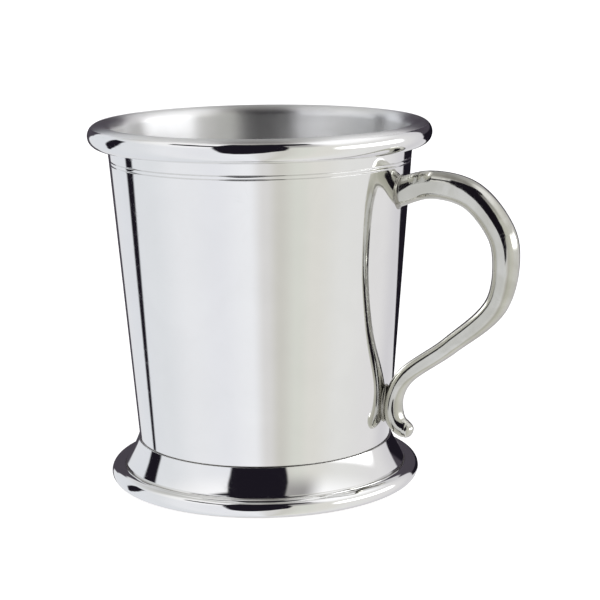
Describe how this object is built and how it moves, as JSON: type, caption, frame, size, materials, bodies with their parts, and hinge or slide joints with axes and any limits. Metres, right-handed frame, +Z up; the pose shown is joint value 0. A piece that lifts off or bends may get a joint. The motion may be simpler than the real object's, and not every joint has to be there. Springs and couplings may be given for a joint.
{
  "type": "tankard",
  "caption": "Small open pewter tankard: a turned conical cup with a beaded rim on a flared, beaded foot, with a cast scroll handle soldered to the wall.",
  "frame": {"origin": "middle of the space the tankard takes up, on the plane it stands on; the cup's own axis is the vertical line through X = -10.79 mm, Y = 0", "axes": "+Z up along the cup's axis, +X from the cup towards the handle, +Y across the handle"},
  "size_m": [0.0978, 0.0762, 0.0808],
  "materials": {
    "polished_pewter": "mirror-polished pewter outside, satin brushed round the inside",
    "cast_pewter": "cast pewter, hand polished, slightly warmer and softer than the spun wall",
    "solder": "tin solder, wiped smooth and lightly buffed"
  },
  "bodies": {
    "root": {"cup_body": "polished_pewter", "foot_ring": "polished_pewter", "foot_solder": "solder", "handle": "cast_pewter", "handle_top_solder": "solder", "handle_bottom_solder": "solder"}
  },
  "joints": []
}
